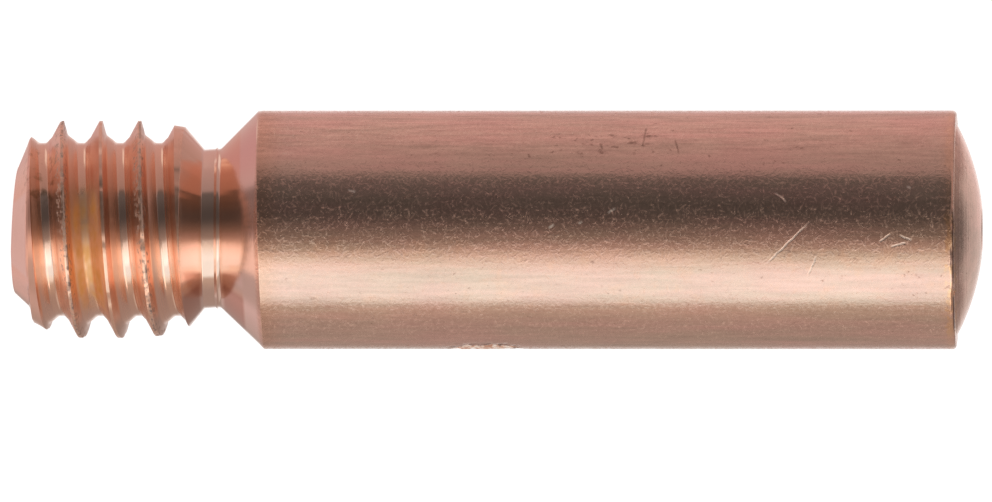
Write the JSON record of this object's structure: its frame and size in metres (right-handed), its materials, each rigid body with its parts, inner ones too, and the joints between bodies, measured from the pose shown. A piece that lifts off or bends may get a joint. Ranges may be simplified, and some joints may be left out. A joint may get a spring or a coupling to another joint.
{
  "type": "welding contact tip",
  "caption": "Turned copper contact tip for a wire-feed welding torch: threaded shank, relief neck, conical seat, plain cylindrical body and crowned nose with a through wire bore.",
  "frame": {"origin": "centre of the flat end face at the threaded end, on the tip's axis", "axes": "+Z along the axis from the threaded end to the crowned nose, the way the wire runs; X and Y are any two directions square to it, with the thread's start turned 97 degrees about -Z"},
  "size_m": [0.0062, 0.0062, 0.025],
  "materials": {
    "copper": "satin turned copper alloy, tarnished pink-brown, brighter on the thread"
  },
  "bodies": {
    "root": {"contact_tip": "copper"}
  },
  "joints": []
}
